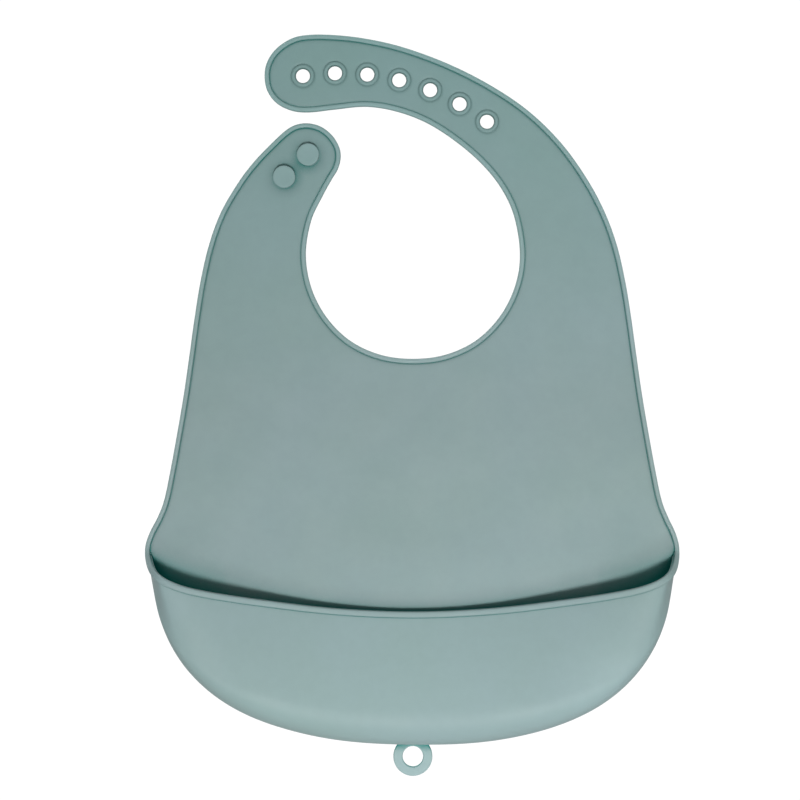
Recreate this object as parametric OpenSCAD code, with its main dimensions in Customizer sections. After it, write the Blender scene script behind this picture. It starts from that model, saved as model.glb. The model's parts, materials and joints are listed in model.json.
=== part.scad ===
// Baby bib moulded in soft silicone, with a catch-all pocket, a two-button
// neck strap and a hanging loop.  The bib stands upright: +Z runs up its
// length, +X to the right and the front faces -Y.  The back face lies on
// y = 0 and the origin is the centre of the hanging loop's hole, on that face.
// Flat outlines are points [x, height over the neck's centre], and angles
// run counterclockwise from +X round that centre.

/* [Sheet] */
// Width across the pocket corners
bib_w = 230; // [222:1:238]
// Height from the hanging loop's hole to the centre of the neck opening
neck_z = 216; // [216:0.5:218]
// Radius of the neck opening
neck_r = 46; // [45:0.5:47]
// Thickness of the sheet
sheet_t = 2; // [1.6:0.1:2.4]
// Width of the raised edge bead
bead_w = 2.1; // [1.8:0.1:2.6]
// Thickness of the edge bead, measured from the back face
bead_t = 3; // [2.6:0.1:3.6]

/* [Hole strap] */
// Number of holes in the strap
hole_n = 7; // [5:1:7]
// Radius of each hole
hole_r = 3; // [2.6:0.1:3.2]
// Radius of the raised rim round each hole
hole_rim_r = 5; // [4.6:0.1:5.2]
// Height of the hole rims over the sheet
hole_rim_h = 0.5; // [0.3:0.1:0.8]
// Distance from one hole to the next
hole_pitch = 13.95; // [13.75:0.05:14.2]

/* [Buttons] */
// Radius of a button's head
button_r = 4.8; // [4.4:0.1:5.2]
// Thickness of a button's head
button_head_t = 2.6; // [2:0.1:3.2]
// Radius of a button's stem
stem_r = 2.8; // [2.4:0.1:2.9]
// Length of a button's stem
stem_h = 3; // [2.8:0.1:3.6]

/* [Pocket] */
// Depth of the pocket's front wall near the sides, where it is fullest
pocket_depth = 24; // [22:1:26]
// Depth of the pocket's front wall in the middle, near the floor
belly_depth = 17; // [15:1:20]
// Distance from the panel to the front of the rim in the middle
rim_gap = 4; // [4:0.5:8]
// Thickness of the pocket's wall
pocket_t = 1.8; // [1.4:0.1:2.2]
// Thickness of the bead on the pocket's rim
rim_t = 3.2; // [2.8:0.1:3.6]

/* [Hanging loop] */
// Outer radius of the loop
loop_r = 8.4; // [8:0.1:9]
// Radius of the loop's hole
loop_hole_r = 4.4; // [4:0.1:4.8]

/* [Flex lines] */
// Height of the storage fold, below the neck opening's centre
fold_drop = 86; // [80:1:92]
// Length of sheet that bends at the fold and at the shoulders
flex_len = 8; // [6:0.5:9]
// Length of sheet that bends between two holes
flex_short = 3.6; // [3:0.1:3.8]

/* [Hidden] */

silicone = [0.51, 0.62, 0.61];
silicone_light = [0.58, 0.68, 0.68];
silicone_dark = [0.45, 0.56, 0.55];

small_fn = 48;      // facets of holes, hole rims and stems
large_fn = 64;      // facets of the loop and the button heads
cut = 1;            // how far a cutter runs past a face
web_w = 0.4;        // width of the web round the hanging loop

// ---- Outline tables ----

// Right side, from the pocket's corner to the shoulder
side_stations = [
    [111.4, -138.4], [113.4, -134.2], [115.2, -129], [113.6, -121.4],
    [109.8, -113.4], [106.8, -105.5], [104, -92], [101.1, -76],
    [98.4, -60], [96.1, -44], [93.9, -28], [91.3, -12], [87.6, 4],
    [82.2, 18.5]
];
// Outer edge of the hole strap, from the shoulder to its round tip
strap_outer = [
    [74.6, 32.6], [63.7, 47.7], [49.7, 61.4], [33.3, 72.5], [14.9, 81.8],
    [-4.5, 88.9], [-21.5, 92.7], [-36.5, 94.2]
];
// Inner edge of the hole strap, from its tip back to the neck
strap_inner = [
    [-33.5, 62.1], [-20.5, 63.3], [-8, 61.5], [5, 56.8], [17, 49.4],
    [28.5, 39.8], [37.4, 29.1], [43.4, 16.5]
];
// Inner edge of the button strap, from the neck to its tip
button_inner = [[-38.8, 24.9], [-34.9, 32]];
// Outer edge of the button strap, from its tip to the shoulder
button_outer = [[-61.4, 46.8], [-67.9, 40], [-74.2, 31.9]];
// Rounded tips of the straps: a centre, and rows of [angle, radius] round it
strap_tip = [-46.4, 77];
strap_tip_rows = [
    [92, 16.9], [115, 16.5], [141, 16.7], [164, 17.2], [185, 17.4],
    [205, 17.6], [226, 17.2], [250, 16.4], [276, 16.2]
];
button_tip = [-46.4, 41.7];
button_tip_rows = [
    [-20, 15.1], [0, 15.4], [18, 15.3], [40, 14.9],
    [63, 14.7], [86, 14.5], [108, 14.3], [130, 14]
];
// Pocket's rim, from the right corner to just short of the middle
rim_right = [
    [113.6, -125.4], [113.2, -130.2], [110.1, -135.6], [103.4, -140.2],
    [91.2, -144.1], [66.2, -148.6], [33, -153]
];
rim_middle = [0, -154.6];

// ---- Curves ----

function reversed(points) = [for (i = [len(points) - 1:-1:0]) points[i]];
function mirror_x(points) = [for (point = reversed(points)) [-point[0], point[1]]];
function polar(radius, angle) = radius * [cos(angle), sin(angle)];
function lobe(centre, rows) = [for (row = rows) centre + polar(row[1], row[0])];

// Widens the sides with the bib, and leaves the collar as it is
table_w = 230;      // bib width the tables are drawn for
widen_top = 18;     // widening starts below this height
widen_len = 100;    // and is complete this far below that
function widen(point) = let (share = max(0, min(1, (widen_top - point[1]) / widen_len)))
    [point[0] * (1 + (bib_w / table_w - 1) * share), point[1]];

// Smooth curve through a list of points, given steps to a span
function blend(before, from, to, after, t) =
    0.5 * (2 * from + (to - before) * t
           + (2 * before - 5 * from + 4 * to - after) * t * t
           + (3 * from - before - 3 * to + after) * t * t * t);
// Point i, with one more point extrapolated past each end
function point_at(points, i) = let (count = len(points))
    i < 0 ? 2 * points[0] - points[1]
    : i >= count ? 2 * points[count - 1] - points[count - 2] : points[i];
function curve_at(points, place) = let (i = min(floor(place), len(points) - 2))
    blend(point_at(points, i - 1), point_at(points, i),
          point_at(points, i + 1), point_at(points, i + 2), place - i);
function curve(points, steps) =
    [for (k = [0:(len(points) - 1) * steps]) curve_at(points, k / steps)];

// The whole edge, from the right pocket corner over both straps to the left one
right_side = [for (point = side_stations) widen(point)];
edge = curve(concat(
    right_side,
    strap_outer,
    lobe(strap_tip, strap_tip_rows),
    strap_inner,
    [for (angle = [0:-18:-198]) polar(neck_r, angle)],
    button_inner,
    lobe(button_tip, button_tip_rows),
    button_outer,
    mirror_x(right_side)), 3);

// The same edge moved inwards by the bead's width
function inward(points, i, distance) = let (
        span = points[min(i + 1, len(points) - 1)] - points[max(i - 1, 0)],
        along = span / norm(span))
    points[i] + distance * [-along[1], along[0]];
inner_edge = [for (i = [0:len(edge) - 1]) inward(edge, i, bead_w)];

// Pocket's bottom curve, half of a superellipse.  turn runs from the right
// corner (0) to the left one (180).
pocket_half_w = 111 * bib_w / table_w;
pocket_drop = 78.6;         // height of the curve
pocket_top = -131.6;        // height of its ends
pocket_squareness = 2.42;
function pocket_edge(turn) = let (power = 2 / pocket_squareness)
    [pocket_half_w * sign(cos(turn)) * pow(abs(cos(turn)), power),
     pocket_top - pocket_drop * pow(abs(sin(turn)), power)];
pocket_bottom = [for (turn = [172:-4:8]) pocket_edge(turn)];

// Holes lie on a spiral round the neck, a pitch apart
spiral_r = 64;              // smallest radius of the spiral
spiral_a = 44;              // angle at which it has that radius
spiral_growth = 0.0043;     // growth with the square of the angle from there
first_hole_a = 60.75;
ahead_a = 5;                // the step is measured this far past each hole
radian = 57.3;              // degrees in a radian
function spiral(angle) =
    spiral_r + spiral_growth * (angle - spiral_a) * (angle - spiral_a);
function next_hole(angle) = let (
        ahead = angle + ahead_a,
        radius = spiral(ahead),
        slope = 2 * spiral_growth * (ahead - spiral_a) * radian)
    angle + hole_pitch / sqrt(radius * radius + slope * slope) * radian;
hole_points = [
    for (i = 0, angle = first_hole_a; i < hole_n; i = i + 1, angle = next_hole(angle))
        polar(spiral(angle), angle)
];

// ---- Zones that cut the sheet and its bead into pieces ----

// Angles of the straps' flex lines
shoulder_a = 27;
lower_a = 66.55;
upper_a = 99.1;
button_a = 168;

flex_half = flex_len / 2;
short_half = flex_short / 2;
fold_top = flex_half - fold_drop;
fold_bottom = -fold_drop - flex_half;

zone_over = 0.5;    // zones run past the back face and the bead by this
near_r = 20;        // radii between which the strap zones reach
far_r = 140;
far_x = 150;        // sides and foot of the zones, clear of the bib
far_down = -260;
tip_x = -100;       // left end of the two strap tip zones
tip_split = 58.7;   // height that parts the straps' tips
neck_x = 60;        // parts the neck's bead from the side beads

// Point at a radius on a flex line, moved counterclockwise by offset
function on_line(angle, radius, offset) =
    polar(radius, angle) + offset * [-sin(angle), cos(angle)];
// Sector from one offset flex line round to another
function sector(from_a, from_offset, to_a, to_offset, inner_r = near_r) = [
    on_line(from_a, inner_r, from_offset), on_line(from_a, far_r, from_offset),
    on_line(to_a, far_r, to_offset), on_line(to_a, inner_r, to_offset)];
function box(left, right, bottom, top) =
    [[left, bottom], [right, bottom], [right, top], [left, top]];

collar_zone = [
    [-far_x, fold_top], [far_x, fold_top],
    on_line(shoulder_a, far_r, -flex_half), on_line(shoulder_a, near_r, -flex_half),
    [0, 0],
    on_line(button_a, near_r, flex_half), on_line(button_a, far_r, flex_half)];
fold_zone = box(-far_x, far_x, fold_bottom, fold_top);
lower_zone = box(-far_x, far_x, far_down, fold_bottom);

shoulder_zone = sector(shoulder_a, -flex_half, shoulder_a, flex_half);
base_zone = sector(shoulder_a, flex_half, lower_a, -short_half);
lower_band_zone = sector(lower_a, -short_half, lower_a, short_half);
middle_zone = sector(lower_a, short_half, upper_a, -short_half);
upper_band_zone = sector(upper_a, -short_half, upper_a, short_half, inner_r = 40);
tip_zone = [
    on_line(upper_a, 50, short_half), on_line(upper_a, far_r, short_half),
    [tip_x, 130], [tip_x, tip_split], [-22, tip_split]];

button_band_zone = sector(button_a, -flex_half, button_a, flex_half);
button_zone = [
    on_line(button_a, near_r, -flex_half), [-15, tip_split], [tip_x, tip_split],
    on_line(button_a, far_r, -flex_half)];

left_zone = box(-far_x, -neck_x, far_down, 60);
right_zone = box(neck_x, far_x, far_down, 90);
neck_zone = box(-neck_x, neck_x, -80, 40);

// ---- Shared solids ----

// Turns +Z to the front
module face_front() rotate([90, 0, 0]) children();
// Puts a shape at a point of the outline, facing the front
module on_sheet(point, y) translate([point[0], y, neck_z + point[1]]) face_front() children();
// Upright plate with its back at the given y
module plate(points, thickness, y = 0)
    on_sheet([0, 0], y) linear_extrude(thickness) polygon(points);
module ring(height, outer_r, inner_r, facets) difference() {
    cylinder(h = height, r = outer_r, $fn = facets);
    translate([0, 0, -cut]) cylinder(h = height + 2 * cut, r = inner_r, $fn = facets);
}

module sheet() plate(concat(inner_edge, pocket_bottom), sheet_t);
module bead() plate(concat(edge, reversed(inner_edge)), bead_t);
module zone(points) plate(points, bead_t + 2 * zone_over, zone_over);

// Parts of the sheet, of the bead and of both together
module sheet_in(points) intersection() {
    sheet();
    zone(points);
}
module bead_in(points) intersection() {
    bead();
    zone(points);
}
module bead_in_both(points, side_points) intersection() {
    bead();
    intersection() {
        zone(points);
        zone(side_points);
    }
}
module band_in(points) intersection() {
    union() {
        sheet();
        bead();
    }
    zone(points);
}

// ---- Collar, fold and lower panel ----

// Sheet round the neck, root of the whole bib
module collar_panel() color(silicone) sheet_in(collar_zone);
module neck_bead() color(silicone_dark) bead_in_both(collar_zone, neck_zone);
module collar_left_bead() color(silicone_dark) bead_in_both(collar_zone, left_zone);
module collar_right_bead() color(silicone_dark) bead_in_both(collar_zone, right_zone);

// Strip across the chest that bends when the bib is folded away
module storage_fold_band() color(silicone_dark) band_in(fold_zone);

// Sheet below the fold, behind the pocket, notched for the loop
module lower_panel() color(silicone_light) difference() {
    sheet_in(lower_zone);
    translate([0, cut, 0]) face_front()
        cylinder(h = sheet_t + 2 * cut, r = loop_r + web_w, $fn = large_fn);
}
module lower_left_bead() color(silicone_dark) bead_in_both(lower_zone, left_zone);
module lower_right_bead() color(silicone_dark) bead_in_both(lower_zone, right_zone);

// Loop for a hook, and the thin web that joins it to the panel
module hanging_loop() color(silicone_light)
    face_front() ring(sheet_t, loop_r, loop_hole_r, large_fn);
module loop_web() color(silicone_dark) intersection() {
    sheet();
    face_front() ring(sheet_t, loop_r + web_w, loop_r, large_fn);
}

// ---- Pocket shell ----
// turn runs round the bottom curve, as in pocket_edge; rise runs from the
// bottom curve (0) up to the rim (1).

rim_stations = concat(rim_right, [rim_middle], mirror_x(rim_right));
function rim_at(turn) =
    widen(curve_at(rim_stations, turn / 180 * (len(rim_stations) - 1)));

round_rise = 0.3;   // the floor rounds over into the front below this rise
round_power = 2.2;
sag_a = 34;         // spread of the shallower middle, in turn
sag_power = 2.2;
bulge_power = 0.75; // how the depth grows from the corners
lean_power = 1.3;   // how the depth changes from the floor to the rim

function round_over(rise) = let (left = 1 - min(rise / round_rise, 1))
    pow(1 - pow(left, round_power), 1 / round_power);
// Depth round the pocket, when it is middle_depth deep in the middle
function depth_round(turn, middle_depth) =
    pocket_depth * pow(abs(sin(turn)), bulge_power)
    - (pocket_depth - middle_depth) * exp(-pow(abs(turn - 90) / sag_a, sag_power));
function depth(turn, rise) = let (share = pow(rise, lean_power))
    round_over(rise) * (depth_round(turn, belly_depth) * (1 - share)
                        + depth_round(turn, rim_gap) * share);
// Point on the shell's outer face
function outer(turn, rise) = let (
        bottom = pocket_edge(turn),
        point = bottom + rise * (rim_at(turn) - bottom))
    [point[0], -sheet_t - depth(turn, rise), neck_z + point[1]];

// Unit normal towards the inside of the pocket, from nearby points
turn_step = 0.5;
rise_step = 0.02;
function normal(turn, rise) = let (
        across = outer(turn + turn_step, rise) - outer(turn - turn_step, rise),
        up = outer(turn, min(rise + rise_step, 1)) - outer(turn, max(rise - rise_step, 0)),
        square = cross(across, up))
    square / norm(square);

// A point off the shell's outer face, inwards, never behind the panel's face
// nor, beside the corners, behind the face of the edge bead
corner_bottom = -140;
function shell(turn, rise, offset) = let (
        point = outer(turn, rise) + offset * normal(turn, rise),
        back = point[2] > neck_z + corner_bottom ? -bead_t : -sheet_t)
    [point[0], min(point[1], back), point[2]];

function quad(a, b, c, d) = [[a, b, c], [a, c, d]];

// Closed solid between two offsets, over [from, to] ranges of turn and rise.
// Each section goes up the inner face and back down the outer one.
module patch(turns, turn_n, rises, rise_n, inner = pocket_t, outer = 0) {
    count = 2 * (rise_n + 1);
    points = [for (i = [0:turn_n], j = [0:count - 1]) let (
            inside = j <= rise_n,
            step = inside ? j : count - 1 - j)
        shell(turns[0] + (turns[1] - turns[0]) * i / turn_n,
              rises[0] + (rises[1] - rises[0]) * step / rise_n,
              inside ? inner : outer)];
    skin = [for (i = [0:turn_n - 1], j = [0:count - 1]) let (
            this = i * count + j,
            next = i * count + (j + 1) % count)
        for (face = quad(this, next, next + count, this + count)) face];
    ends = [for (last = [false, true], j = [0:rise_n - 1]) let (
            start = last ? turn_n * count : 0,
            low_in = start + j,
            high_in = low_in + 1,
            low_out = start + count - 1 - j,
            high_out = low_out - 1)
        for (face = last ? quad(low_in, high_in, high_out, low_out)
                         : quad(low_in, low_out, high_out, high_in)) face];
    polyhedron(points, concat(skin, ends), convexity = 6);
}

front_turn = 42;    // the moving front starts this far round
corner_turn = 5;    // the shell starts this far from each corner
wall_rise = 0.13;   // top of the wall that stays with the panel
front_rise = 0.3;   // bottom of the front that moves
lip_rise = 0.94;    // bottom of the rim's bead
slit_rise = 0.003;  // slits between the pieces
slit_turn = 0.15;
rim_proud = 0.6;    // how far the rim's bead stands out of the outer face

gusset_turns = [corner_turn, front_turn - slit_turn];
front_turns = [front_turn + slit_turn, 180 - front_turn - slit_turn];

module rim_bead(turns, turn_n)
    patch(turns, turn_n, [lip_rise + slit_rise, 1], 2,
          inner = rim_t - rim_proud, outer = -rim_proud);
// Right side of the pocket, between the wall and the front, with its rim
module gusset() {
    patch(gusset_turns, 14, [wall_rise + slit_rise, lip_rise - slit_rise], 10);
    rim_bead(gusset_turns, 14);
}

// Low wall that rises from the panel all round the pocket's bottom curve
module pocket_wall() color(silicone)
    patch([corner_turn, 180 - corner_turn], 48, [0, wall_rise], 4);
// Strip that flexes when the front swings
module pocket_floor_fold() color(silicone_dark)
    patch([front_turn, 180 - front_turn], 28,
          [wall_rise + slit_rise, front_rise - slit_rise], 4);
module pocket_right_gusset() color(silicone_dark) gusset();
module pocket_left_gusset() color(silicone_dark) mirror([1, 0, 0]) gusset();
module pocket_front() color(silicone_light)
    patch(front_turns, 36, [front_rise + slit_rise, lip_rise - slit_rise], 10);
module pocket_rim() color(silicone) rim_bead(front_turns, 36);

// ---- Hole strap: three stiff lengths with a flex band before each ----

module holes() for (point = hole_points)
    on_sheet(point, cut) cylinder(h = sheet_t + 4 * cut, r = hole_r, $fn = small_fn);
module strap_in(points) intersection() {
    difference() {
        sheet();
        holes();
    }
    zone(points);
}
module rims(first, last) for (i = [first:last])
    on_sheet(hole_points[i], -sheet_t) ring(hole_rim_h, hole_rim_r, hole_r, small_fn);

module hole_strap_shoulder_band() color(silicone_dark) band_in(shoulder_zone);
module hole_strap_base() color(silicone) strap_in(base_zone);
module hole_strap_base_bead() color(silicone_dark) bead_in(base_zone);
module hole_strap_base_rim() color(silicone_dark) rims(0, 0);
module hole_strap_lower_band() color(silicone_dark) band_in(lower_band_zone);
module hole_strap_middle() color(silicone) strap_in(middle_zone);
module hole_strap_middle_bead() color(silicone_dark) bead_in(middle_zone);
module hole_strap_middle_rims() color(silicone_dark) rims(1, 3);
module hole_strap_upper_band() color(silicone_dark) band_in(upper_band_zone);
module hole_strap_tip() color(silicone) strap_in(tip_zone);
module hole_strap_tip_bead() color(silicone_dark) bead_in(tip_zone);
module hole_strap_tip_rims() color(silicone_dark) rims(4, hole_n - 1);

// ---- Button strap and its two mushroom buttons, a hole pitch apart ----

button_mid = [-49.95, 37.3];            // midway between the buttons
button_half = polar(hole_pitch / 2, 43); // from there to the upper one
head_bevel = 0.8;                       // bevel round the head's front
under_bevel = [0.3, 0.4];               // width and height of the one behind

module button(point) on_sheet(point, -sheet_t) {
    cylinder(h = stem_h, r = stem_r, $fn = small_fn);
    translate([0, 0, stem_h]) rotate_extrude($fn = large_fn) polygon([
        [0, 0], [button_r - under_bevel[0], 0], [button_r, under_bevel[1]],
        [button_r, button_head_t - head_bevel], [button_r - head_bevel, button_head_t],
        [0, button_head_t]]);
}
module button_strap_shoulder_band() color(silicone_dark) band_in(button_band_zone);
module button_strap() color(silicone) sheet_in(button_zone);
module button_strap_bead() color(silicone_dark) bead_in(button_zone);
module upper_button() color(silicone) button(button_mid + button_half);
module lower_button() color(silicone) button(button_mid - button_half);

collar_panel();
neck_bead();
collar_left_bead();
collar_right_bead();
storage_fold_band();
lower_panel();
lower_left_bead();
lower_right_bead();
pocket_wall();
pocket_floor_fold();
pocket_left_gusset();
pocket_right_gusset();
pocket_front();
pocket_rim();
hanging_loop();
loop_web();
hole_strap_shoulder_band();
hole_strap_base();
hole_strap_base_bead();
hole_strap_base_rim();
hole_strap_lower_band();
hole_strap_middle();
hole_strap_middle_bead();
hole_strap_middle_rims();
hole_strap_upper_band();
hole_strap_tip();
hole_strap_tip_bead();
hole_strap_tip_rims();
button_strap_shoulder_band();
button_strap();
button_strap_bead();
upper_button();
lower_button();
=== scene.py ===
# A soft silicone bib with a catch-all pocket. It hangs upright facing -Y, its flat back on y = 0.
# A strap with a row of holes curls round the neck from the right, to a short strap with two
# buttons on the left. The hanging loop at the bottom is centred on the origin.
# Left (-X) and right (+X) are as seen from the front. Shapes are worked out in mm: a point of
# the bib's plane is (x, h), with h its height above the centre of the neck opening.
import json
import math

import bmesh
import bpy
import numpy as np
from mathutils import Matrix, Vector
from mathutils.geometry import delaunay_2d_cdt


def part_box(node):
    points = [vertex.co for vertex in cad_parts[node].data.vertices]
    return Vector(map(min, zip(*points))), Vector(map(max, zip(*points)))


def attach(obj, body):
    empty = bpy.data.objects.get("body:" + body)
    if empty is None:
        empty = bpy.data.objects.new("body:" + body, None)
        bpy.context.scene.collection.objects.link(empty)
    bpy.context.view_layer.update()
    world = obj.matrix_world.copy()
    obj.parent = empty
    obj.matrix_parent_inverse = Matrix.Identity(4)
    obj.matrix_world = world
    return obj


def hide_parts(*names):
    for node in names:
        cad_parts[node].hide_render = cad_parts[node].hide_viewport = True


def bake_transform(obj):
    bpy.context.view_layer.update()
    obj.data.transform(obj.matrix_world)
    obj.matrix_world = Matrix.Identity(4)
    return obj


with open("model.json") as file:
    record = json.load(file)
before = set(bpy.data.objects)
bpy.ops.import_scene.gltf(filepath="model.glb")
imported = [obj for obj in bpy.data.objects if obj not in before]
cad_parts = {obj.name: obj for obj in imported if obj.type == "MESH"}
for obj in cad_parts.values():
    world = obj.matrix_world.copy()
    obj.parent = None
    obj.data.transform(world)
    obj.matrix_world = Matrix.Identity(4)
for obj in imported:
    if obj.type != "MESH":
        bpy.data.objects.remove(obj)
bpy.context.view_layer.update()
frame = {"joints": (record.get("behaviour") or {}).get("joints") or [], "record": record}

MM = 0.001
scene = bpy.context.scene

# ------------------------------------------------------------ main dimensions
mounts = {mount["name"]: mount for mount in frame["record"]["mounts"]}
joints = {joint["name"]: joint for joint in frame["joints"]}
NECK_Z = mounts["neck_opening"]["pos_m"][2] / MM
SHEET_T = -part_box("collar_panel")[0].y / MM
NECK_R = 46.0
BEAD_W = 2.0
SHEET_TONE = 0.87                    # brightness of the plain sheet

# Stations of the outline, (x, h). The right side, from the pocket's corner up to the strap:
SIDES = [
    (111, -138.4), (113.2, -134.2), (115.2, -129), (113.6, -121.4), (109.8, -113.4),
    (106.8, -105.5), (104, -92), (101.1, -76), (98.4, -60), (96.1, -44), (93.9, -28),
    (91.3, -12), (87.6, 4), (82.2, 18.5)]
STRAP_OUTER = [
    (74.6, 32.6), (63.7, 47.7), (49.7, 61.4), (33.3, 72.5), (14.9, 81.8), (-4.5, 88.9),
    (-21.5, 92.7), (-36.5, 94.2)]
STRAP_INNER = [
    (-33.5, 62.1), (-20.5, 63.3), (-8, 61.5), (5, 56.8), (17, 49.4), (28.5, 39.8),
    (37.4, 29.1), (43.4, 16.5)]
BUTTON_INNER = [(-38.8, 24.9), (-34.9, 32)]
BUTTON_OUTER = [(-61.4, 46.8), (-67.9, 40), (-74.2, 31.9)]
# Round ends and the neck: a centre (x, h), then (angle in degrees, radius) about it
STRAP_TIP = (-46.4, 77)
STRAP_TIP_R = [
    (92, 16.9), (115, 16.5), (141, 16.7), (164, 17.2), (185, 17.4), (205, 17.6),
    (226, 17.2), (250, 16.4), (276, 16.2)]
BUTTON_TIP = (-46.4, 41.7)
BUTTON_TIP_R = [
    (-20, 15.1), (0, 15.4), (18, 15.3), (40, 14.9), (63, 14.7), (86, 14.5), (108, 14.3),
    (130, 14)]
NECK_CENTRE = (0, 0)
NECK_STATIONS = [
    (0, NECK_R), (-18, NECK_R), (-36, NECK_R), (-54, NECK_R), (-72, NECK_R - 0.5),
    (-90, NECK_R - 0.95), (-108, NECK_R - 0.5), (-126, NECK_R), (-144, NECK_R),
    (-162, NECK_R), (-180, NECK_R), (-198, NECK_R)]

# Right half of the pocket's rim, from the corner to the middle, (x, h)
RIM = [
    (113.6, -124.8), (113.2, -129.8), (110.1, -135.5), (103.4, -140.2), (91.2, -144.1),
    (66.2, -148.6), (33, -153), (0, -154.6)]
LEFT_OUT = 0.6                       # how far the left corner stands out beyond the right

# Pocket outline: the lower half of a superellipse
POCKET_HALF_W, POCKET_DROP, POCKET_H, POCKET_POWER = 110.4, 78.6, -131.6, 2.42
CORNER_OUT, CORNER_OUT_SPREAD = 2.2, 7.0       # mm added outwards at a corner, and degrees
CORNER_UP, CORNER_UP_SPREAD = 4.3, 2.2         # mm added upwards at a corner, and degrees
# Unevenness of the outline: mm outwards, at angle, spread over degrees
POCKET_SWELLS = [(0.85, 50, 22), (0.42, 80, 14), (-0.3, 115, 10), (0.5, 174, 8)]
SWELL_H = -140                       # swells point away from this height on the middle line
POCKET_DEPTH, RIM_DIP, BELLY_DIP = 24.0, 20.0, 7.0
POCKET_T, CORNER_T = 1.8, 0.3        # wall thickness, and at the corners

# Strap holes, set along a spiral about the neck's centre; angles in degrees
HOLE_COUNT, HOLE_R = 7, 3.0
FIRST_HOLE, HOLE_PITCH = 60.75, 13.95
SPIRAL_R, SPIRAL_GROWTH, SPIRAL_START = 64, 0.0043, 44
HALF_STEP = 5                        # angle past a hole at which the next step is measured
DEG_PER_RAD = 57.3
HOLE_SIDES = 56

# Faces round a hole: (distance from its centre, y)
FRONT_HOLE = np.array([
    (3.0, -1.15), (3.04, -1.75), (3.16, -2.12), (3.38, -2.38), (3.7, -2.5), (4.1, -2.52),
    (4.45, -2.46), (4.72, -2.3), (4.9, -2.08), (5.04, -1.88), (5.2, -1.8), (5.4, -1.87),
    (5.7, -1.97), (6.1, -2.0)])
BACK_HOLE = np.array([
    (3.0, -1.15), (3.04, -0.62), (3.16, -0.28), (3.38, -0.08), (3.7, 0.0), (6.1, 0.0)])
HOLE_REACH = 6.1                     # the raised lip has died away here
# Front face beside the bead, a shallow groove: (distance from the outline, y)
FRONT_EDGE = np.array([
    (0.9, -1.82), (1.95, -1.82), (2.15, -1.8), (2.35, -1.84), (2.6, -1.94), (3.1, -2.0)])
EDGE_RINGS = [0.9, 1.95, 2.15, 2.35, 2.6, 3.1, 4.3]    # mesh lines, mm in from the outline

# The pieces the sheet is cut into, and the angles of the cuts about the neck
MAIN, BASE, MIDDLE, TIP, BUTTON, MOUTH = range(6)
PIECE_NAMES = ["bib_sheet", "hole_strap_lower_part", "hole_strap_middle_part",
               "hole_strap_tip_part", "button_strap_part"]
CUT_BASE, CUT_LOWER, CUT_UPPER, CUT_BUTTON = 11.5, 46.8, 78.1, 183.5


# ------------------------------------------------------------ curves and easing
def padded(stations):
    """The stations with one more continued past each end."""
    points = np.array(stations, float)
    return np.vstack([2 * points[0] - points[1], points, 2 * points[-1] - points[-2]])


def catmull_rom(a, b, c, d, t):
    """Point at t between b and c on the smooth curve through a, b, c and d."""
    return 0.5 * (2 * b + (c - a) * t + (2 * a - 5 * b + 4 * c - d) * t * t
                  + (3 * b - a - 3 * c + d) * t ** 3)


def spline(stations, steps):
    """Smooth curve through the stations, with some steps to a span."""
    points = padded(stations)
    curve = [catmull_rom(*points[i:i + 4], k / steps)
             for i in range(len(stations) - 1) for k in range(steps)]
    return np.array(curve + [points[-2]])


def spline_at(stations, place):
    """Points of the same curve, where place counts stations from the first."""
    points = padded(stations)
    i = np.clip(np.floor(place).astype(int), 0, len(stations) - 2)
    t = (place - i)[:, None]
    return catmull_rom(points[i], points[i + 1], points[i + 2], points[i + 3], t)


def polar(centre, stations):
    """Points round a centre, one at each angle in degrees and radius."""
    return [(centre[0] + r * math.cos(math.radians(angle)),
             centre[1] + r * math.sin(math.radians(angle))) for angle, r in stations]


def circle(centre, r, sides):
    return [(centre[0] + r * math.cos(2 * math.pi * k / sides),
             centre[1] + r * math.sin(2 * math.pi * k / sides)) for k in range(sides)]


def mirrored(stations, start_h, full_h):
    """Left-hand copy, standing out by LEFT_OUT in full from full_h on."""
    return [(-x - LEFT_OUT * max(0, min(1, (h - start_h) / (full_h - start_h))), h)
            for x, h in stations]


def resample(line, step):
    """Points an even distance apart along a polyline."""
    line = np.array(line, float)
    length = np.r_[0, np.cumsum(np.linalg.norm(np.diff(line, axis=0), axis=1))]
    count = max(2, int(round(length[-1] / step)))
    at = np.linspace(0, length[-1], count + 1)
    return np.stack([np.interp(at, length, line[:, k]) for k in range(line.shape[1])], 1)


def to_left(line, distance):
    """The line moved to the left of its direction of travel."""
    along = np.gradient(line, axis=0)
    along = along / np.linalg.norm(along, axis=1)[:, None]
    return line + distance * np.stack([-along[:, 1], along[:, 0]], 1)


def hump(value, centre, spread):
    """Bell curve, 1 at the centre."""
    return np.exp(-((value - centre) / spread) ** 2)


def ease(value, start, end):
    """0 at start to 1 at end, level at both."""
    u = np.clip((value - start) / (end - start), 0, 1)
    return u * u * (3 - 2 * u)


def distance_to_line(points, line, chunk=2000):
    """Distance from each point to a polyline, worked out a chunk of points at a time."""
    out = np.empty(len(points))
    starts, spans = line[:-1], line[1:] - line[:-1]
    squared = (spans ** 2).sum(1)
    for i in range(0, len(points), chunk):
        p = points[i:i + chunk, None, :]
        u = np.clip(((p - starts) * spans).sum(2) / squared, 0, 1)
        gap = p - starts - u[..., None] * spans
        out[i:i + chunk] = np.sqrt((gap ** 2).sum(2).min(1))
    return out


def inside_polygon(points, polygon):
    """Even-odd test of points against a closed polygon."""
    x, y = points[:, 0], points[:, 1]
    inside = np.zeros(len(points), bool)
    for (x1, y1), (x2, y2) in zip(polygon, np.roll(polygon, -1, 0)):
        hit = (y1 > y) != (y2 > y)
        inside[hit] ^= x[hit] < (x2 - x1) * (y[hit] - y1) / (y2 - y1) + x1
    return inside


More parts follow.
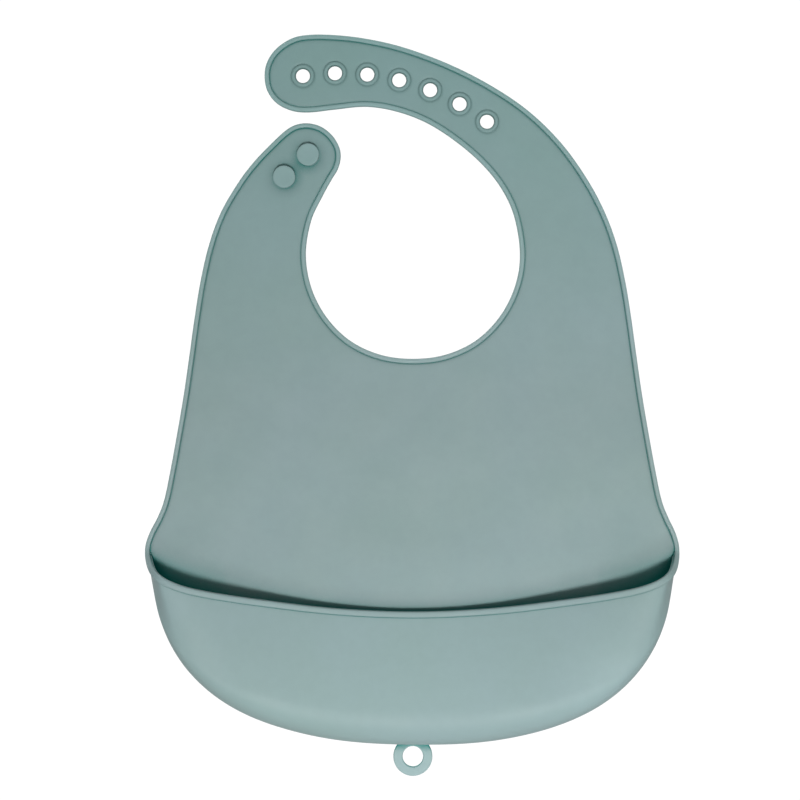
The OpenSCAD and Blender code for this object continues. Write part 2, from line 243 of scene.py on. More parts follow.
# ------------------------------------------------------------ mesh building
def new_mesh(name, verts, faces, crease, tone, sharp=()):
    """Smooth object from points in mm, faces turned outwards; the sharp edges stay sharp in the
    shading.
    """
    mesh = bpy.data.meshes.new(name)
    mesh.from_pydata((np.asarray(verts) * MM).tolist(), [],
                     [tuple(int(i) for i in face) for face in faces])
    mesh.validate()
    mesh.polygons.foreach_set("use_smooth", [True] * len(mesh.polygons))
    wanted = {tuple(sorted(pair)) for pair in sharp}
    for mesh_edge in mesh.edges:
        if tuple(sorted(mesh_edge.vertices)) in wanted:
            mesh_edge.use_edge_sharp = True
    for key, values in (("crease", crease), ("tone", tone)):
        attribute = mesh.attributes.new(key, "FLOAT", "POINT")
        attribute.data.foreach_set("value", np.full(len(verts), values, np.float32))
    mesh.update()
    ob = bpy.data.objects.new(name, mesh)
    scene.collection.objects.link(ob)

    turned = bmesh.new()
    turned.from_mesh(mesh)
    bmesh.ops.recalc_face_normals(turned, faces=turned.faces)
    turned.to_mesh(mesh)
    turned.free()
    return ob


class Part:
    """Collects closed shells into one mesh."""
    def __init__(self):
        self.verts, self.faces, self.sharp = [], [], []
        self.crease, self.tone, self.count = [], [], 0

    def add(self, verts, faces, sharp=(), crease=0.0, tone=1.0):
        self.verts.append(verts)
        self.faces += [tuple(i + self.count for i in face) for face in faces]
        self.sharp += [(a + self.count, b + self.count) for a, b in sharp]
        self.crease.append(np.full(len(verts), crease, float))
        self.tone.append(np.full(len(verts), tone, float))
        self.count += len(verts)

    def build(self, name):
        return new_mesh(name, np.vstack(self.verts), self.faces, np.concatenate(self.crease),
                        np.concatenate(self.tone), self.sharp)


def tube_faces(rings, sides, closed=False):
    """Quads between rings of points that follow one another."""
    total = rings * sides
    faces = []
    for i in range(rings if closed else rings - 1):
        for j in range(sides):
            a, b = i * sides + j, i * sides + (j + 1) % sides
            faces.append((a, b, (b + sides) % total, (a + sides) % total))
    return faces


# ------------------------------------------------------------ outlines
# Pocket places are angles in degrees: 0 at the right corner, 90 at the middle, 180 at the left
def from_corner(angle):
    """Degrees from the nearer corner."""
    return 90 - np.abs(angle - 90)


def pocket_edge(angle):
    """Outline of the pocket where it meets the sheet."""
    corner = from_corner(angle)
    c, s = np.cos(np.radians(angle)), np.abs(np.sin(np.radians(angle)))
    power = 2 / POCKET_POWER
    x = np.sign(c) * (POCKET_HALF_W * np.abs(c) ** power
                      + CORNER_OUT * hump(corner, 0, CORNER_OUT_SPREAD))
    h = POCKET_H - POCKET_DROP * s ** power + CORNER_UP * hump(corner, 0, CORNER_UP_SPREAD)
    swell = sum(amount * hump(angle, at, spread) for amount, at, spread in POCKET_SWELLS)
    r = np.hypot(x, h - SWELL_H)
    return np.stack([x + swell * x / r, h + swell * (h - SWELL_H) / r], -1)


RIM_ALL = RIM + mirrored(RIM[-2::-1], -140, -132)


def rim_at(angle):
    return spline_at(RIM_ALL, angle / 180 * (len(RIM_ALL) - 1))


def sag(angle):
    """1 in the middle of the pocket's front, where it lies back, falling to 0 at the sides."""
    return np.exp(-np.abs((angle - 90) / 34) ** 2.2)


def bulge(angle, start, over):
    """Depth of the pocket's front, eased in from each corner over some degrees."""
    lift = ease(from_corner(angle), start, start + over)
    return POCKET_DEPTH * np.abs(np.sin(np.radians(angle))) ** 0.62 * lift


def full_depth(angle):
    return bulge(angle, start=1, over=16) - BELLY_DIP * sag(angle)


def rim_depth(angle):
    return bulge(angle, start=6, over=28) - RIM_DIP * sag(angle)


def swing(angle):
    """How far the pocket's front goes with its joint: held at the corners, free in the middle."""
    return ease(from_corner(angle), 3, 44)


# From the right pocket corner, over the straps, to the left corner
edge = resample(spline(
    SIDES + STRAP_OUTER + polar(STRAP_TIP, STRAP_TIP_R) + STRAP_INNER
    + polar(NECK_CENTRE, NECK_STATIONS) + BUTTON_INNER
    + polar(BUTTON_TIP, BUTTON_TIP_R) + BUTTON_OUTER
    + mirrored(SIDES[::-1], -117, -125), 16), 1.1)
# From the left corner round the bottom to the right corner
pocket_line = resample(pocket_edge(np.linspace(0.3, 179.7, 3000)[::-1]), 1.3)


def zone(points):
    """Which piece of the sheet each point of the plane belongs to."""
    x, h = points[:, 0], points[:, 1]
    angle = np.degrees(np.arctan2(h, x)) % 360
    out = np.full(len(points), MAIN)
    out[(angle >= CUT_BASE) & (angle < CUT_LOWER)] = BASE
    out[(angle >= CUT_LOWER) & (angle < CUT_UPPER)] = MIDDLE
    # here the hole strap's tip lies above the button strap
    far = (angle >= CUT_UPPER) & (angle < CUT_BUTTON)
    out[far] = BUTTON
    out[far & ((x > -20) | (h > 58.6))] = TIP
    return out


# ------------------------------------------------------------ holes
def spiral(angle):
    return SPIRAL_R + SPIRAL_GROWTH * (angle - SPIRAL_START) ** 2


def hole_centres():
    """Hole centres, about one pitch apart along the spiral."""
    stations, angle = [], FIRST_HOLE
    for _ in range(HOLE_COUNT):
        stations.append((angle, spiral(angle)))
        r = spiral(angle + HALF_STEP)
        slope = 2 * SPIRAL_GROWTH * (angle + HALF_STEP - SPIRAL_START) * DEG_PER_RAD
        angle += HOLE_PITCH / math.hypot(r, slope) * DEG_PER_RAD
    return np.array(polar(NECK_CENTRE, stations))


holes = hole_centres()


def distance_to_hole(points):
    """Distance to the nearest hole's centre."""
    return np.sqrt(((points[:, None] - holes[None]) ** 2).sum(2)).min(1)


# ------------------------------------------------------------ the sheet
def sheet_border():
    """Closed border of the sheet, just inside the bead and the pocket's wall."""
    side = to_left(edge, EDGE_RINGS[0])
    side = side[side[:, 1] > -126.2]
    # the border runs closer to the pocket's outline near the corners
    near_corner = np.clip((pocket_line[:, 1] + 146) / 8, 0, 1)[:, None]
    low = to_left(pocket_line, 0.9) * (1 - near_corner) + to_left(pocket_line, 0.4) * near_corner
    low = low[1:-1]
    left_join = resample(np.array([side[-1], low[0]]), 1.2)[1:-1]
    right_join = resample(np.array([low[-1], side[0]]), 1.2)[1:-1]
    return np.vstack([side, left_join, low, right_join])


def sheet_grid(border, step=2.6, edge_gap=5.2, hole_gap=7.2):
    """Triangular grid inside the border, clear of the lines along the edge and round the holes."""
    x, h = np.meshgrid(np.arange(-116, 117, step), np.arange(-212, 95, step * 0.866))
    x = x + (np.arange(x.shape[0]) % 2)[:, None] * step / 2
    grid = np.stack([x.ravel(), h.ravel()], 1)
    grid = grid[inside_polygon(grid, border)]
    outline = np.vstack([edge, pocket_line, edge[:1]])
    grid = grid[distance_to_line(grid, outline) > edge_gap]
    return grid[distance_to_hole(grid) > hole_gap]


def triangulate_sheet():
    """Points and triangles of the sheet's plane, with the holes open."""
    points, links = [], []

    def add_line(line, closed=False):
        first, count = len(points), len(line)
        points.extend(np.asarray(line).tolist())
        links.extend((first + i, first + (i + 1) % count)
                     for i in range(count if closed else count - 1))

    border = sheet_border()
    add_line(border, closed=True)
    for distance in EDGE_RINGS[1:]:
        line = to_left(edge, distance)
        add_line(line[line[:, 1] > -124.5])
    for centre in holes:
        for r in FRONT_HOLE[:, 0]:
            add_line(circle(centre, r, HOLE_SIDES), closed=True)
    for cut in (CUT_BASE, CUT_LOWER, CUT_UPPER, CUT_BUTTON):
        r = np.linspace(40, 110, 60)
        angle = math.radians(cut)
        add_line(np.stack([r * math.cos(angle), r * math.sin(angle)], 1))
    points.extend(sheet_grid(border).tolist())

    keep_inside, tolerance = 1, 1e-5
    plane, _, triangles, *_ = delaunay_2d_cdt(
        [Vector(p) for p in points], links, [list(range(len(border)))], keep_inside, tolerance)
    plane = np.array([(p.x, p.y) for p in plane])
    triangles = np.array([t for t in triangles if len(t) == 3])
    in_hole = distance_to_hole(plane[triangles].mean(1)) <= HOLE_R * 0.985
    triangles = triangles[~in_hole]
    # counter-clockwise in (x, h) faces -Y
    u = plane[triangles[:, 1]] - plane[triangles[:, 0]]
    v = plane[triangles[:, 2]] - plane[triangles[:, 0]]
    clockwise = u[:, 0] * v[:, 1] - u[:, 1] * v[:, 0] < 0
    triangles[clockwise] = triangles[clockwise][:, ::-1]
    return plane, triangles


def sheet_tone_and_light(points):
    """The sheet's tone, with painted light a little lighter towards the low right of the chest,
    above the pocket.
    """
    x, h = points[:, 0], points[:, 1]
    rim_x, rim_h = np.array(RIM[::-1]).T
    rim = np.interp(np.abs(x), rim_x, rim_h)
    above_rim = np.clip((h - rim - 3 - 10 * (x / 110) ** 2) / 6, 0, 1)
    lift = 0.05 * ease(h, -60, -110) + 0.05 * ease(h, -120, -142)
    lift += 0.045 * np.clip(x / 90, 0, 1) * ease(h, -80, -120)
    return SHEET_TONE * (1 + above_rim * lift)


def add_sheet(parts):
    """Gives the triangulated plane its thickness and shares it out among the parts."""
    plane, triangles = triangulate_sheet()
    piece = zone(plane[triangles].mean(1))
    from_edge, from_hole = distance_to_line(plane, edge), distance_to_hole(plane)
    near = from_hole < HOLE_REACH
    front = np.where(near, np.interp(from_hole, *FRONT_HOLE.T),
                     np.interp(from_edge, *FRONT_EDGE.T))
    back = np.where(near, np.interp(from_hole, *BACK_HOLE.T), 0)
    # painted shade in the creases: the groove beside the bead, the foot of each hole's lip, and
    # the hole's wall
    crease = 0.4 * hump(from_edge, 2.18, 0.17)
    hole_crease = np.maximum(hump(from_hole, 5.1, 0.16),
                             1.25 * np.clip((3.55 - from_hole) / 0.3, 0, 1))
    crease = np.where(near, np.maximum(crease, hole_crease), crease)

    for key, part in parts.items():
        used, local = np.unique(triangles[piece == key], return_inverse=True)
        local = local.reshape(-1, 3).tolist()
        n = len(used)
        x, z = plane[used, 0], plane[used, 1] + NECK_Z
        verts = np.vstack([np.stack([x, front[used], z], 1), np.stack([x, back[used], z], 1)])
        faces = [tuple(t) for t in local] + [(t[2] + n, t[1] + n, t[0] + n) for t in local]
        # a wall closes each edge that has a triangle on one side only
        directed = dict.fromkeys((t[i], t[(i + 1) % 3]) for t in local for i in range(3))
        in_hole_wall = np.abs(from_hole[used] - HOLE_R) < 1e-3
        sharp = []
        for a, b in directed:
            if (b, a) in directed:
                continue
            faces.append((b, a, a + n, b + n))
            if not (in_hole_wall[a] and in_hole_wall[b]):
                sharp += [(a, b), (a + n, b + n), (a, a + n), (b, b + n)]
        part.add(verts, faces, sharp, np.concatenate([crease[used], np.zeros(n)]),
                 np.concatenate([sheet_tone_and_light(plane[used]), np.full(n, SHEET_TONE)]))


# ------------------------------------------------------------ the bead, one closed ribbon
BEAD_SIDES, BEAD_POWER = 28, 3.6     # points and squareness of its rounded section
RIM_START_H = -125.6                 # below this the bead's path is the pocket's rim
rim_angle = np.linspace(180, 0, 900)
rim_path = rim_at(rim_angle)


def bead_path():
    """Middle of the bead as (x, y, h), starting and ending at the middle of the rim."""
    rim = np.stack([rim_path[:, 0], -1.55 - rim_depth(rim_angle), rim_path[:, 1]], 1)
    side = to_left(edge, BEAD_W / 2 + 0.05)
    side = side[side[:, 1] > -121]
    side = np.stack([side[:, 0], np.full(len(side), -1.47), side[:, 1]], 1)
    path = np.vstack([side, rim[rim[:, 2] < RIM_START_H]])
    path = resample(np.vstack([path, path[:1]]), 1.0)[:-1]
    # even out the joins at the corners
    corner = (np.abs(path[:, 0]) > 96) & (path[:, 2] < -118) & (path[:, 2] > -145)
    for _ in range(8):
        softer = 0.25 * np.roll(path, 1, 0) + 0.5 * path + 0.25 * np.roll(path, -1, 0)
        path[corner] = softer[corner]
    middle = np.argmin(np.abs(path[:, 0]) + (path[:, 2] > -140) * 1000)
    return np.roll(path, -middle, 0)


def bead_rings(path):
    """A ring of points round the path at each of its points."""
    along = np.roll(path, -1, 0) - np.roll(path, 1, 0)
    along /= np.linalg.norm(along, axis=1)[:, None]
    forward = np.array([0.0, -1.0, 0.0])
    outwards = forward - (along @ forward)[:, None] * along
    outwards /= np.linalg.norm(outwards, axis=1)[:, None]
    inwards = np.cross(outwards, along)
    angle = np.linspace(0, 2 * math.pi, BEAD_SIDES, endpoint=False)
    across, over = (np.sign(w) * np.abs(w) ** (2 / BEAD_POWER) / 2
                    for w in (np.cos(angle), np.sin(angle)))
    at_rim = np.clip((-128 - path[:, 2]) / 10, 0, 1)     # 1 along the pocket's rim
    width = BEAD_W + 0.1 + 0.75 * at_rim
    thickness = 2.75 + 0.4 * at_rim
    rings = (path[:, None, :] + (across[None] * width[:, None])[..., None] * inwards[:, None, :]
             + (over[None] * thickness[:, None])[..., None] * outwards[:, None, :])
    return rings + np.array([0, 0, NECK_Z])


def add_bead_run(part, rings, indices):
    """The bead's rings at the indices, as one closed shell."""
    count = len(indices)
    first = list(range(BEAD_SIDES))
    last = [(count - 1) * BEAD_SIDES + j for j in first]
    faces = tube_faces(count, BEAD_SIDES) + [tuple(first[::-1]), tuple(last)]
    sharp = []
    for j in range(BEAD_SIDES):
        k = (j + 1) % BEAD_SIDES
        sharp += [(first[j], first[k]), (last[j], last[k])]
    part.add(rings[indices].reshape(-1, 3), faces, sharp)


def add_bead(parts, pocket_part):
    """Shares the bead out among the parts; returns how its points on the pocket swing."""
    path = bead_path()
    rings = bead_rings(path)
    label = np.where(path[:, 2] < -112, MOUTH, zone(path[:, [0, 2]]))
    cuts = [i for i in range(1, len(path)) if label[i] != label[i - 1]]
    for start, end in zip(cuts, cuts[1:]):
        add_bead_run(parts[int(label[start])], rings, list(range(start, end + 1)))
    # the pocket's run wraps past the start of the path
    wrapped = [i % len(path) for i in range(cuts[-1], len(path) + cuts[0] + 1)]
    add_bead_run(pocket_part, rings, wrapped)
    run = path[wrapped]
    nearest = ((run[:, None, [0, 2]] - rim_path[None]) ** 2).sum(2).argmin(1)
    weight = np.where(run[:, 2] < RIM_START_H, swing(rim_angle[nearest]), 0)
    return np.repeat(weight, BEAD_SIDES)


# ------------------------------------------------------------ pocket shell
SHELL_COLUMNS, SHELL_ROWS = 250, 46  # points from corner to corner, and from outline to rim
SHELL_TURN = 0.3                     # share of the way to the rim over which the wall rounds
# The hem carries the outer wall past the sheet's edge to the back: (mm inside the outline, y)
HEM = [(1.75, -1.2), (1.6, 0.0), (1.3, 0.1), (0.75, 0.12), (0.35, 0.02), (0.1, -0.25),
       (0.0, -0.65), (-0.02, -1.3)]


def shell_outer(angles, shares):
    """Outer face: a row of points from the outline (share 0) to the rim (1) at each angle."""
    angle, share = np.meshgrid(angles, shares, indexing="ij")
    low, rim = pocket_edge(angle), rim_at(angle.ravel()).reshape(angle.shape + (2,))
    p = low + share[..., None] * (rim - low)
    k = 1 - np.minimum(share / SHELL_TURN, 1)
    rounding = (1 - k ** 2.2) ** (1 / 2.2)
    g = share ** 1.3
    depth = rounding * (full_depth(angle) * (1 - g) + rim_depth(angle) * g)
    return np.stack([p[..., 0], -SHEET_T - depth, p[..., 1]], -1)


def shell_painted_light(x, h):
    """Painted light and shade: lighter in the middle, low down and low on the right; deeper at the
    very bottom.
    """
    tone = 1.05 + 0.12 * hump(x, 0, 70) + 0.08 * np.clip((-165 - h) / 40, 0, 1)
    tone += 0.09 * hump(x, 84, 22) * np.clip((-155 - h) / 20, 0, 1)
    return tone - 0.09 * hump(x, 0, 60) * hump(h, -203, 7)


def end_faces(start, outer_count, total, flipped):
    """Closes the section that begins at start, strip by strip from outer to inner side."""
    outer = [start + j for j in range(outer_count)]
    inner = [start + total - 1 - j for j in range(total - outer_count)]
    extra = len(outer) - len(inner)
    faces = [(outer[j], outer[j + 1], inner[0]) for j in range(extra)]
    faces += [(outer[extra + j], outer[extra + j + 1], inner[j + 1], inner[j])
              for j in range(len(inner) - 1)]
    return faces if flipped else [face[::-1] for face in faces]


def add_shell(part):
    """Adds the pocket's wall; returns how its points swing."""
    fine = np.linspace(0.25, 179.75, 6000)
    steps = np.linalg.norm(np.diff(pocket_edge(fine), axis=0), axis=1)
    length = np.r_[0, np.cumsum(steps)]
    angles = np.interp(np.linspace(0, length[-1], SHELL_COLUMNS), length, fine)
    # rows lie closer together near the outline
    k = np.linspace(0, 1, SHELL_ROWS)
    shares = np.round(np.where(k < 0.5, SHELL_TURN * (k / 0.5) ** 1.7,
                               SHELL_TURN + 0.7 * (k - 0.5) / 0.5), 6)

    outer = shell_outer(angles, shares)
    normal = np.cross(np.gradient(outer, axis=1), np.gradient(outer, axis=0))
    normal /= np.maximum(np.linalg.norm(normal, axis=2), 1e-9)[..., None]
    thickness = CORNER_T + (POCKET_T - CORNER_T) * ease(from_corner(angles), 1, 14)
    inner = outer - normal * thickness[:, None, None]
    inner[..., 1] = np.minimum(inner[..., 1], -SHEET_T + 0.35)

    outline = outer[:, 0, [0, 2]]
    hem = []
    for inset, y in HEM:
        q = to_left(outline, -inset)
        hem.append(np.stack([q[:, 0], np.full(len(q), y), q[:, 1]], 1))
    section = np.concatenate([np.stack(hem, 1), outer, inner[:, ::-1]], axis=1)
    total = section.shape[1]
    verts = (section + np.array([0, 0, NECK_Z])).reshape(-1, 3)
    faces = tube_faces(SHELL_COLUMNS, total)
    outer_count = len(HEM) + SHELL_ROWS
    faces += end_faces(0, outer_count, total, flipped=True)
    faces += end_faces((SHELL_COLUMNS - 1) * total, outer_count, total, flipped=False)
    part.add(verts, faces, tone=shell_painted_light(verts[:, 0], verts[:, 2] - NECK_Z))

    section_shares = np.concatenate([np.zeros(len(HEM)), shares, shares[::-1]])
    return (swing(angles)[:, None] * ease(section_shares, 0.06, 0.32)[None, :]).ravel()


# ------------------------------------------------------------ buttons and hanging loop
BUTTON_MID, BUTTON_LINE = np.array([-49.95, 37.3]), math.radians(43)
BUTTON_OFFSET = 6.97                 # each button's distance from their midpoint
BUTTON_R, STEM_R, STEM_H, HEAD_T = 4.8, 2.8, 3.0, 2.6
FOOT_R, FOOT_SUNK, FILLET = 3.9, 0.4, 0.9
LOOP_R, LOOP_HOLE_R, LOOP_T = 8.4, 4.4, 2.1
LOOP_SIDES = 96


def rounded(points, radius, steps=5):
    """Rounds the inner corners of a profile."""
    points = [np.array(p, float) for p in points]
    out = [points[0]]
    for a, b, c in zip(points, points[1:], points[2:]):
        u, v = a - b, c - b
        u_len, v_len = np.linalg.norm(u), np.linalg.norm(v)
        r = min(radius, u_len * 0.48, v_len * 0.48)
        p, q = b + u / u_len * r, b + v / v_len * r
        for k in range(steps + 1):
            t = k / steps
            out.append((1 - t) ** 2 * p + 2 * t * (1 - t) * b + t * t * q)
    out.append(points[-1])
    return out


def lathe(profile, centre, sides=72):
    """Solid turned about -Y from (radius, distance to the front) pairs, from axis to axis."""
    verts, rings, faces = [], [], []
    for r, d in profile:
        count = sides if r > 0 else 1
        rings.append([len(verts) + k for k in range(count)])
        verts += [(x, centre[1] - d, z) for x, z in circle((centre[0], centre[2]), r, count)]
    for low, high in zip(rings, rings[1:]):
        for k in range(sides):
            corners = ((low, k), (high, k), (high, k + 1), (low, k + 1))
            # a ring that is a single point gives a triangle
            faces.append(tuple(dict.fromkeys(ring[i % len(ring)] for ring, i in corners)))
    return verts, faces


def make_button(name, side):
    """Mushroom button on a flared stem; side is 1 or -1 along the line of buttons."""
    direction = np.array([math.cos(BUTTON_LINE), math.sin(BUTTON_LINE)])
    x, h = BUTTON_MID + side * BUTTON_OFFSET * direction
    top = STEM_H + HEAD_T
    head = [(STEM_R, STEM_H - 0.3), (STEM_R + 0.15, STEM_H), (BUTTON_R, STEM_H),
            (BUTTON_R, top), (BUTTON_R - 0.9, top)]
    profile = [(0, -FOOT_SUNK), (FOOT_R, -FOOT_SUNK), (STEM_R + FILLET, 0.0)]
    profile += [(STEM_R + FILLET * (1 - math.sin(a)), FILLET * (1 - math.cos(a)))
                for a in np.linspace(0.25, math.pi / 2, 6)]
    profile += [(STEM_R, STEM_H - 0.5)]
    profile += rounded(head, 0.75)[1:-1]
    # the face is very slightly dished
    profile += [(BUTTON_R - 1.0, top), (BUTTON_R - 2.0, top - 0.06), (1.4, top - 0.12),
                (0, top - 0.14)]
    verts, faces = lathe(profile, (x, -SHEET_T, h + NECK_Z))
    return new_mesh(name + "_moulded", verts, faces, crease=0, tone=0.93)


def make_loop():
    """Flat ring whose top runs up behind the pocket's bottom edge."""
    mid = (LOOP_R + LOOP_HOLE_R) / 2
    profile = rounded([(mid, 0.05), (LOOP_R, 0.05), (LOOP_R, LOOP_T), (LOOP_HOLE_R, LOOP_T),
                       (LOOP_HOLE_R, 0.05), (mid, 0.05)], 0.62, 6)[:-1]
    verts = []
    for k in range(LOOP_SIDES):
        angle = 2 * math.pi * k / LOOP_SIDES
        for r, d in profile:
            z = r * math.sin(angle)
            up = max(0.0, min(1.0, (z - 3.0) / 3.0))
            # thinner where it is sunk in the sheet
            y = -d * (1 - up) + up * (-0.35 - (d / LOOP_T) * 1.3)
            verts.append((r * math.cos(angle), y, z))
    faces = tube_faces(LOOP_SIDES, len(profile), closed=True)
    # painted light: a tone of 1.32 lightens the ring
    return new_mesh("hanging_loop_ring", verts, faces, crease=0, tone=1.32)


# ------------------------------------------------------------ build the pieces
parts = {key: Part() for key in (MAIN, BASE, MIDDLE, TIP, BUTTON)}
pocket_part = Part()
add_sheet(parts)
bead_weight = add_bead(parts, pocket_part)
shell_weight = add_shell(pocket_part)

buttons = {name: make_button(name, side)
           for name, side in (("upper_button", 1), ("lower_button", -1))}
hanging_loop = make_loop()
pieces = {key: part.build(PIECE_NAMES[key]) for key, part in parts.items()}
pocket = pocket_part.build("pocket_shell")


# ------------------------------------------------------------ materials
def node(tree, kind, inputs=None, **settings):
    """Adds a shader node; an input is given a value, or linked if it is given a socket."""
    made = tree.nodes.new("ShaderNode" + kind)
    for key, value in settings.items():
        setattr(made, key, value)
    for socket, value in (inputs or {}).items():
        if isinstance(value, bpy.types.NodeSocket):
            tree.links.new(value, made.inputs[socket])
        else:
            made.inputs[socket].default_value = value
    return made


def noise(tree, coords, scale, detail, **more):
    inputs = {"Vector": coords, "Scale": scale, "Detail": detail, **more}
    return node(tree, "TexNoise", inputs).outputs["Fac"]


def remap(tree, value, source, target=(0, 1), **settings):
    """Maps the source range to the target range."""
    inputs = {"Value": value, "From Min": source[0], "From Max": source[1],
              "To Min": target[0], "To Max": target[1]}
    return node(tree, "MapRange", inputs, **settings).outputs[0]


def mix(tree, factor, a, b, blend="MIX"):
    return node(tree, "Mix", {"Factor": factor, "A": a, "B": b},
                data_type="RGBA", blend_type=blend).outputs["Result"]


def times(tree, a, b):
    return node(tree, "Math", {0: a, 1: b}, operation="MULTIPLY").outputs[0]


def grey(tree, value):
    return node(tree, "CombineColor", {k: value for k in range(3)}).outputs[0]


def attribute(tree, name):
    return node(tree, "Attribute", attribute_name=name).outputs["Fac"]


def occlusion(tree, distance):
    """How open the surface is to its surroundings, within a distance in metres."""
    return node(tree, "AmbientOcclusion", {"Distance": distance}, samples=8).outputs["AO"]


def cleared(owner):
    """The emptied node tree of a material or world."""
    owner.use_nodes = True
    owner.node_tree.nodes.clear()
    return owner.node_tree


def silicone(name, base):
    """Satin moulded silicone."""
    def shade(red, green, blue):
        return (base[0] * red, base[1] * green, base[2] * blue, 1)

    mat = bpy.data.materials.new(name)
    tree = cleared(mat)
    coords = node(tree, "TexCoord").outputs["Object"]
    # broad, faint mottling of the moulded colour, then a finer one
    broad = noise(tree, coords, scale=14, detail=3, Roughness=0.55)
    colour = mix(tree, remap(tree, broad, (0.3, 0.7)),
                 shade(0.968, 0.982, 0.955), shade(1.032, 1.018, 1.045))
    speckle = remap(tree, noise(tree, coords, scale=240, detail=2), (0.35, 0.65), (0.985, 1.01))
    colour = mix(tree, 1, colour, grey(tree, speckle), "MULTIPLY")
    # painted shade: deeper colour in the moulded creases
    colour = mix(tree, times(tree, attribute(tree, "crease"), 0.5), colour,
                 shade(0.35, 0.42, 0.4))
    # and painted shade, dark and greener, in deep recesses: under the button heads, beside the
    # bead, inside the pocket
    painted_shade_mix = remap(tree, occlusion(tree, distance=0.03), (0.42, 0.77),
                     interpolation_type="SMOOTHSTEP")
    colour = mix(tree, painted_shade_mix, shade(0.03, 0.70, 0.62), colour)
    # each piece's own tone together with painted light makes the colour lighter or deeper; close
    # to a step a painted shade makes it a little deeper too
    step_shade = remap(tree, occlusion(tree, distance=0.006), (0.5, 0.97), (0.76, 1.0))
    tone = times(tree, attribute(tree, "tone"), step_shade)
    colour = mix(tree, 1, colour, grey(tree, tone), "MULTIPLY")
    # a touch greener up the straps
    height = node(tree, "SeparateXYZ", {0: coords}).outputs["Z"]
    tint = mix(tree, remap(tree, height, (0.15, 0.30)),
               (1.0, 0.978, 0.976, 1), (0.89, 1.03, 1.01, 1))
    colour = mix(tree, 1, colour, tint, "MULTIPLY")
    # slightly uneven gloss, with a fine moulded texture
    roughness = remap(tree, noise(tree, coords, scale=60, detail=4), (0.3, 0.7), (0.5, 0.62))
    bump = node(tree, "Bump", {
        "Strength": 0.12, "Distance": 0.00006,
        "Height": noise(tree, coords, scale=1900, detail=3)})
    bsdf = node(tree, "BsdfPrincipled", {
        "Base Color": colour,
        "Roughness": roughness,
        "Normal": bump.outputs[0],
        # the painted recess shade also dims the gloss and sheen there
        "Specular IOR Level": times(tree, painted_shade_mix, 0.35),
        "Sheen Weight": times(tree, painted_shade_mix, 0.12),
        "Sheen Roughness": 0.45})
    node(tree, "OutputMaterial", {0: bsdf.outputs[0]})
    return mat


sage = silicone("sage_silicone", base=(0.262, 0.378, 0.380))
for ob in [*pieces.values(), pocket, hanging_loop, *buttons.values()]:
    ob.data.materials.append(sage)


def across(joint, before, after, angle, turn):
    """Start and end of a bend, in mm before and after a flex line at an angle to the neck."""
    p = joints[joint]["pos_m"]
    n = (-math.sin(math.radians(angle)) * turn, math.cos(math.radians(angle)) * turn)
    return ((p[0] - before * MM * n[0], p[1], p[2] - before * MM * n[1]),
            (p[0] + after * MM * n[0], p[1], p[2] + after * MM * n[1]))


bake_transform(pieces[MAIN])

# Piece, first body, second body, joint, mm before, mm after, angle, turn (1 counter-clockwise)
BENDS = [
    (BASE, "collar", "hole_strap_base", "hole_strap_wrap", 11.5, 11.5, 27, 1),
    (MIDDLE, "hole_strap_base", "hole_strap_middle", "hole_strap_middle_curl",
     11.5, 10, 66.55, 1),
    (TIP, "hole_strap_middle", "hole_strap_tip", "hole_strap_tip_curl", 11.5, 12, 99.1, 1),
    (BUTTON, "collar", "button_strap", "button_strap_wrap", 11.5, 11.5, 168, -1),
]
for key, first_body, second_body, *bend in BENDS:
    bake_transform(pieces[key])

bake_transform(pocket)
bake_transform(hanging_loop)
for button in buttons.values():
    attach(button, "button_strap")

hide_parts("collar_panel", "neck_bead", "collar_left_bead", "collar_right_bead",
            "storage_fold_band", "lower_panel", "lower_left_bead", "lower_right_bead")
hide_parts("hole_strap_shoulder_band", "hole_strap_base_bead")
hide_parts("hole_strap_base", "hole_strap_base_rim", "hole_strap_lower_band",
            "hole_strap_middle_bead")
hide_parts("hole_strap_middle", "hole_strap_middle_rims", "hole_strap_upper_band",
            "hole_strap_tip", "hole_strap_tip_bead", "hole_strap_tip_rims")
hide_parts("button_strap_shoulder_band", "button_strap", "button_strap_bead")
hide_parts("pocket_wall", "pocket_floor_fold", "pocket_left_gusset",
            "pocket_right_gusset", "pocket_front", "pocket_rim")
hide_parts("hanging_loop", "loop_web")
for name, button in buttons.items():
    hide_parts(name)

# ------------------------------------------------------------ stage (metres)
scene.view_settings.view_transform = "Standard"
scene.view_settings.look = "None"
WHITE = (1, 1, 1, 1)
BACKDROP = 1.05                      # brightness of floor and surroundings to the camera
FLOOR_R, FLOOR_Z, FLOOR_SIDES = 14.0, -1.6, 128


def seen_as(tree, seen, other):
    """Mix of two shaders: one for the camera, one for light bouncing about."""
    camera_ray = node(tree, "LightPath").outputs["Is Camera Ray"]
    return node(tree, "MixShader",
                {0: camera_ray, 1: other.outputs[0], 2: seen.outputs[0]}).outputs[0]


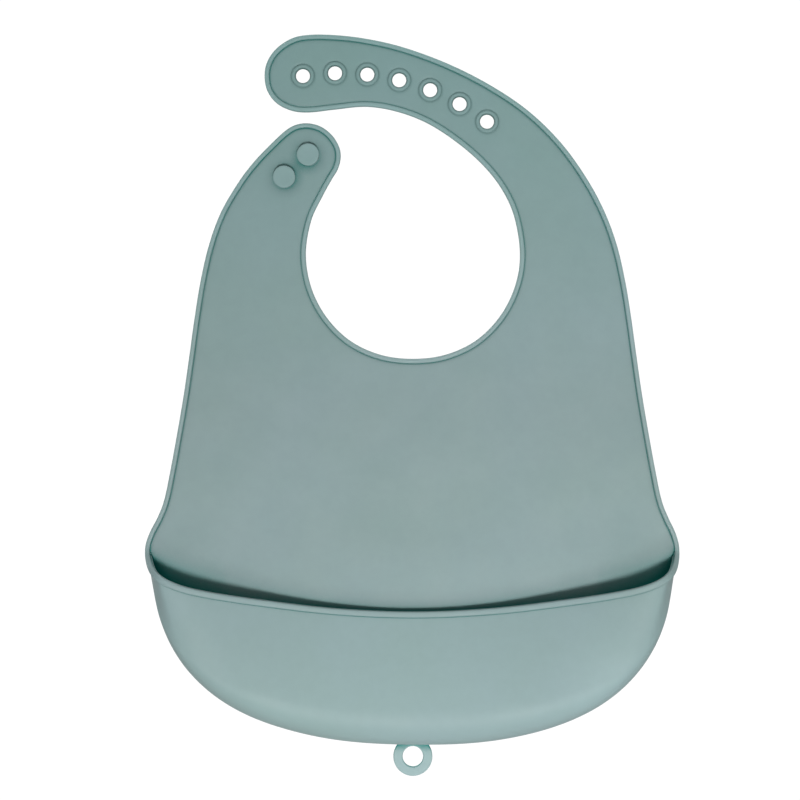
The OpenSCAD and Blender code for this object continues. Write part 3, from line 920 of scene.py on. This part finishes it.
def make_floor():
    """Pale floor, as white to the camera as the studio behind it."""
    mesh = bpy.data.meshes.new("floor")
    mesh.from_pydata([(x, y, FLOOR_Z) for x, y in circle((0, 0), FLOOR_R, FLOOR_SIDES)], [],
                     [tuple(range(FLOOR_SIDES))])
    floor = bpy.data.objects.new("floor", mesh)
    scene.collection.objects.link(floor)
    mat = bpy.data.materials.new("pale_floor")
    tree = cleared(mat)
    diffuse = node(tree, "BsdfDiffuse", {"Color": (0.9, 0.9, 0.895, 1)})
    glow = node(tree, "Emission", {"Color": WHITE, "Strength": BACKDROP})
    node(tree, "OutputMaterial", {0: seen_as(tree, seen=glow, other=diffuse)})
    mesh.materials.append(mat)


def make_world():
    world = bpy.data.worlds.new("studio")
    scene.world = world
    tree = cleared(world)
    ambient = node(tree, "Background", {"Color": WHITE, "Strength": 0.295})
    backdrop = node(tree, "Background", {"Color": WHITE, "Strength": BACKDROP})
    node(tree, "OutputWorld", {0: seen_as(tree, seen=backdrop, other=ambient)})


def add_light(name, kind, location, target, energy, **settings):
    """Light at a location, aimed at a target and hidden from the camera."""
    light = bpy.data.lights.new(name, kind)
    light.energy = energy
    for key, value in settings.items():
        setattr(light, key, value)
    ob = bpy.data.objects.new(name, light)
    ob.location = location
    aim = Vector(target) - Vector(location)
    ob.rotation_euler = aim.to_track_quat("-Z", "Y").to_euler()
    ob.visible_camera = False
    scene.collection.objects.link(ob)


make_floor()
make_world()
add_light("fill_back", "AREA", location=(-0.5, 1.1, 0.5), target=(0, 0, 0.15), energy=9.0,
          shape="DISK", size=0.9)
add_light("top", "AREA", location=(0, 0.35, 1.5), target=(0, 0.1, 0.2), energy=9.0,
          shape="DISK", size=0.8)
# soft-edged spot from low in front, brightest on the pocket
# the key's start is kept exact by aiming from its rounded location
add_light("key", "SPOT", location=(0.35, -4.6, -1.2), target=(0.10, 0, 0.01), energy=1600,
          shadow_soft_size=0.55, spot_size=math.radians(12), spot_blend=1.0)

# ------------------------------------------------------------ camera
VIEW_W = 0.3446                      # width of the bib's plane across the picture, in metres
VIEW_X, VIEW_H = -5.53, -62.78       # middle of the view in the bib's plane, in mm
camera = bpy.data.cameras.new("camera")
camera.lens = 85
camera.sensor_width = 36
camera_ob = bpy.data.objects.new("camera", camera)
scene.collection.objects.link(camera_ob)
distance = VIEW_W * camera.lens / camera.sensor_width
camera_ob.location = (VIEW_X * MM, -distance, (NECK_Z + VIEW_H) * MM)
camera_ob.rotation_euler = (math.radians(90), 0, 0)
scene.camera = camera_ob
